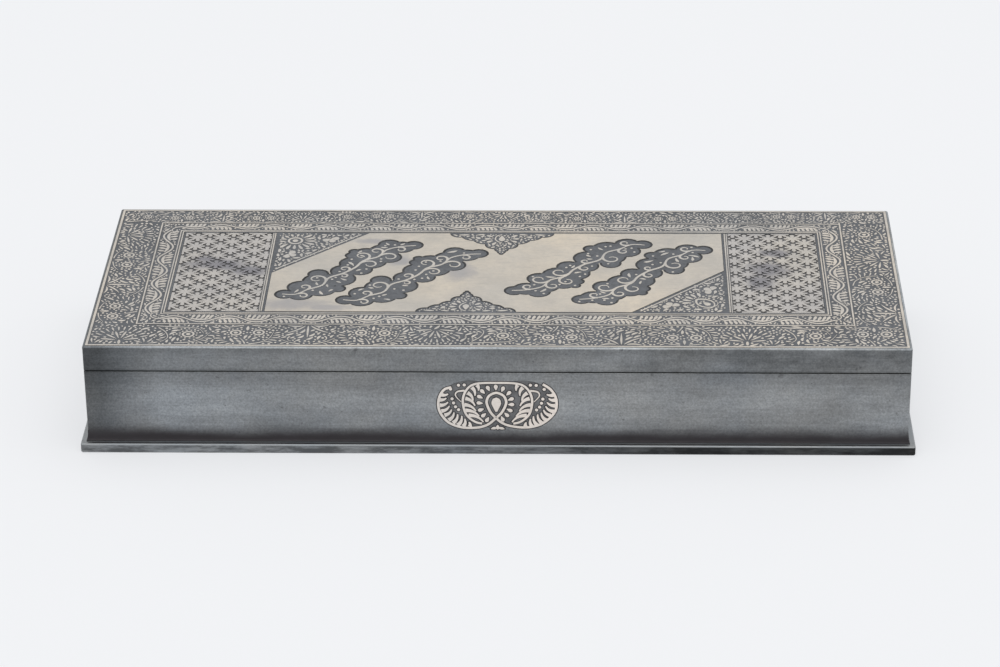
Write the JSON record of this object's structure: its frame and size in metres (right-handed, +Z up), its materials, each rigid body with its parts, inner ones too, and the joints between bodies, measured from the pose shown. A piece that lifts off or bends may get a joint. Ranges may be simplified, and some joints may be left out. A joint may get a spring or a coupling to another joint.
{
  "type": "inlaid metal box",
  "caption": "Shallow oblong bidri box: cast dark alloy plates, silver inlaid lid with cloud panel and floral borders, hinged at the back, standing on a projecting base plate.",
  "frame": {"origin": "middle of the underside of the base plate, on the surface that the box stands on", "axes": "+X along the length to the right as seen from the front, +Y from the front to the hinged back, +Z up"},
  "size_m": [0.3052, 0.1232, 0.0425],
  "materials": {
    "alloy": "darkened zinc and copper alloy, worn to a bluish grey with a low, mottled sheen",
    "silver": "warm, lightly tarnished sheet and wire silver, softly worn",
    "brass": "dull, darkened brass"
  },
  "bodies": {
    "case": {"base_plate": "alloy", "front_wall": "alloy", "back_wall": "alloy", "left_wall": "alloy", "right_wall": "alloy", "front_rim_strip": "alloy", "back_rim_strip": "alloy", "left_rim_strip": "alloy", "right_rim_strip": "alloy", "front_medallion": "silver", "left_hinge_body_leaf": "brass", "left_hinge_pin": "brass", "left_hinge_body_rivet_1": "brass", "left_hinge_body_rivet_2": "brass", "right_hinge_body_leaf": "brass", "right_hinge_pin": "brass", "right_hinge_body_rivet_1": "brass", "right_hinge_body_rivet_2": "brass"},
    "lid": {"lid_top_plate": "alloy", "lid_front_rail": "alloy", "lid_back_rail": "alloy", "lid_left_rail": "alloy", "lid_right_rail": "alloy", "outer_border_line": "silver", "inner_border_line": "silver", "panel_border_line": "silver", "left_panel_divider": "silver", "right_panel_divider": "silver", "left_star_sheet": "silver", "right_star_sheet": "silver", "centre_sheet": "silver", "left_hinge_lid_leaf": "brass", "left_hinge_lid_rivet_1": "brass", "left_hinge_lid_rivet_2": "brass", "right_hinge_lid_leaf": "brass", "right_hinge_lid_rivet_1": "brass", "right_hinge_lid_rivet_2": "brass"}
  },
  "joints": [
    {"name": "lid_hinge", "type": "hinge", "parent": "case", "child": "lid", "pos_m": [0, 0.0578, 0.0324], "axis": [-1, 0, 0], "range_deg": [0, 105]}
  ]
}
